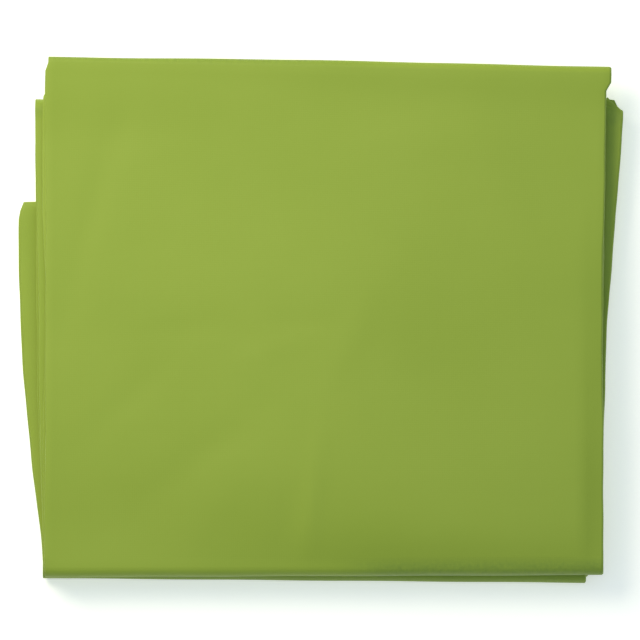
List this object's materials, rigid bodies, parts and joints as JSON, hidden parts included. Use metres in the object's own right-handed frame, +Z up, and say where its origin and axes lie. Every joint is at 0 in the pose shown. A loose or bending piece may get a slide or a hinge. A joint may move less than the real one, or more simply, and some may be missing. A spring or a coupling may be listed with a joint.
{
  "type": "folded play tower roof tarp",
  "caption": "Lime-green coated fabric roof tarp for a play tower, folded flat into a nearly square packet of fan-folded groups that hinge open at their creases.",
  "frame": {"origin": "centre of the packet's box, on the surface it lies on", "axes": "+X along the creases, away from the sheet's side hems; +Y from the lower crease towards the lengthwise half fold; +Z up through the plies"},
  "size_m": [0.3566, 0.3114, 0.0256],
  "materials": {
    "coated_fabric": "satin PVC-coated polyester, lime green",
    "hem_thread": "polyester sewing thread, green"
  },
  "bodies": {
    "second_fold": {"panel_7": "coated_fabric", "left_hem_7": "coated_fabric", "right_hem_7": "coated_fabric", "hem_stitching_7": "hem_thread", "panel_2": "coated_fabric", "left_hem_2": "coated_fabric", "right_hem_2": "coated_fabric", "hem_stitching_2": "hem_thread", "crease_1_2": "coated_fabric", "crease_7_8": "coated_fabric", "crease_2_3": "coated_fabric", "crease_6_7": "coated_fabric"},
    "bottom_fold": {"panel_1": "coated_fabric", "left_hem_1": "coated_fabric", "right_hem_1": "coated_fabric", "hem_stitching_1": "hem_thread", "panel_8": "coated_fabric", "left_hem_8": "coated_fabric", "right_hem_8": "coated_fabric", "hem_stitching_8": "hem_thread", "first_end_hem": "coated_fabric", "first_end_stitching": "hem_thread", "last_end_hem": "coated_fabric", "last_end_stitching": "hem_thread"},
    "third_fold": {"panel_3": "coated_fabric", "left_hem_3": "coated_fabric", "right_hem_3": "coated_fabric", "hem_stitching_3": "hem_thread", "panel_6": "coated_fabric", "left_hem_6": "coated_fabric", "right_hem_6": "coated_fabric", "hem_stitching_6": "hem_thread", "crease_3_4": "coated_fabric", "crease_5_6": "coated_fabric"},
    "top_fold": {"panel_5": "coated_fabric", "left_hem_5": "coated_fabric", "right_hem_5": "coated_fabric", "hem_stitching_5": "hem_thread", "panel_4": "coated_fabric", "left_hem_4": "coated_fabric", "right_hem_4": "coated_fabric", "hem_stitching_4": "hem_thread", "crease_4_5": "coated_fabric"}
  },
  "joints": [
    {"name": "lower_crease", "type": "hinge", "parent": "second_fold", "child": "bottom_fold", "pos_m": [0, -0.1479, 0.0064], "axis": [-1, 0.0087, 0], "range_deg": [0, 179], "deforming": ["crease_1_2", "crease_7_8"]},
    {"name": "middle_crease", "type": "hinge", "parent": "second_fold", "child": "third_fold", "pos_m": [0, 0.1211, 0.0128], "axis": [-0.9999, 0.0136, 0], "range_deg": [0, 179], "deforming": ["crease_2_3", "crease_6_7"]},
    {"name": "upper_crease", "type": "hinge", "parent": "third_fold", "child": "top_fold", "pos_m": [0, -0.1453, 0.0192], "axis": [1, 0.0037, 0], "range_deg": [0, 179], "deforming": ["crease_3_4", "crease_5_6"]}
  ]
}
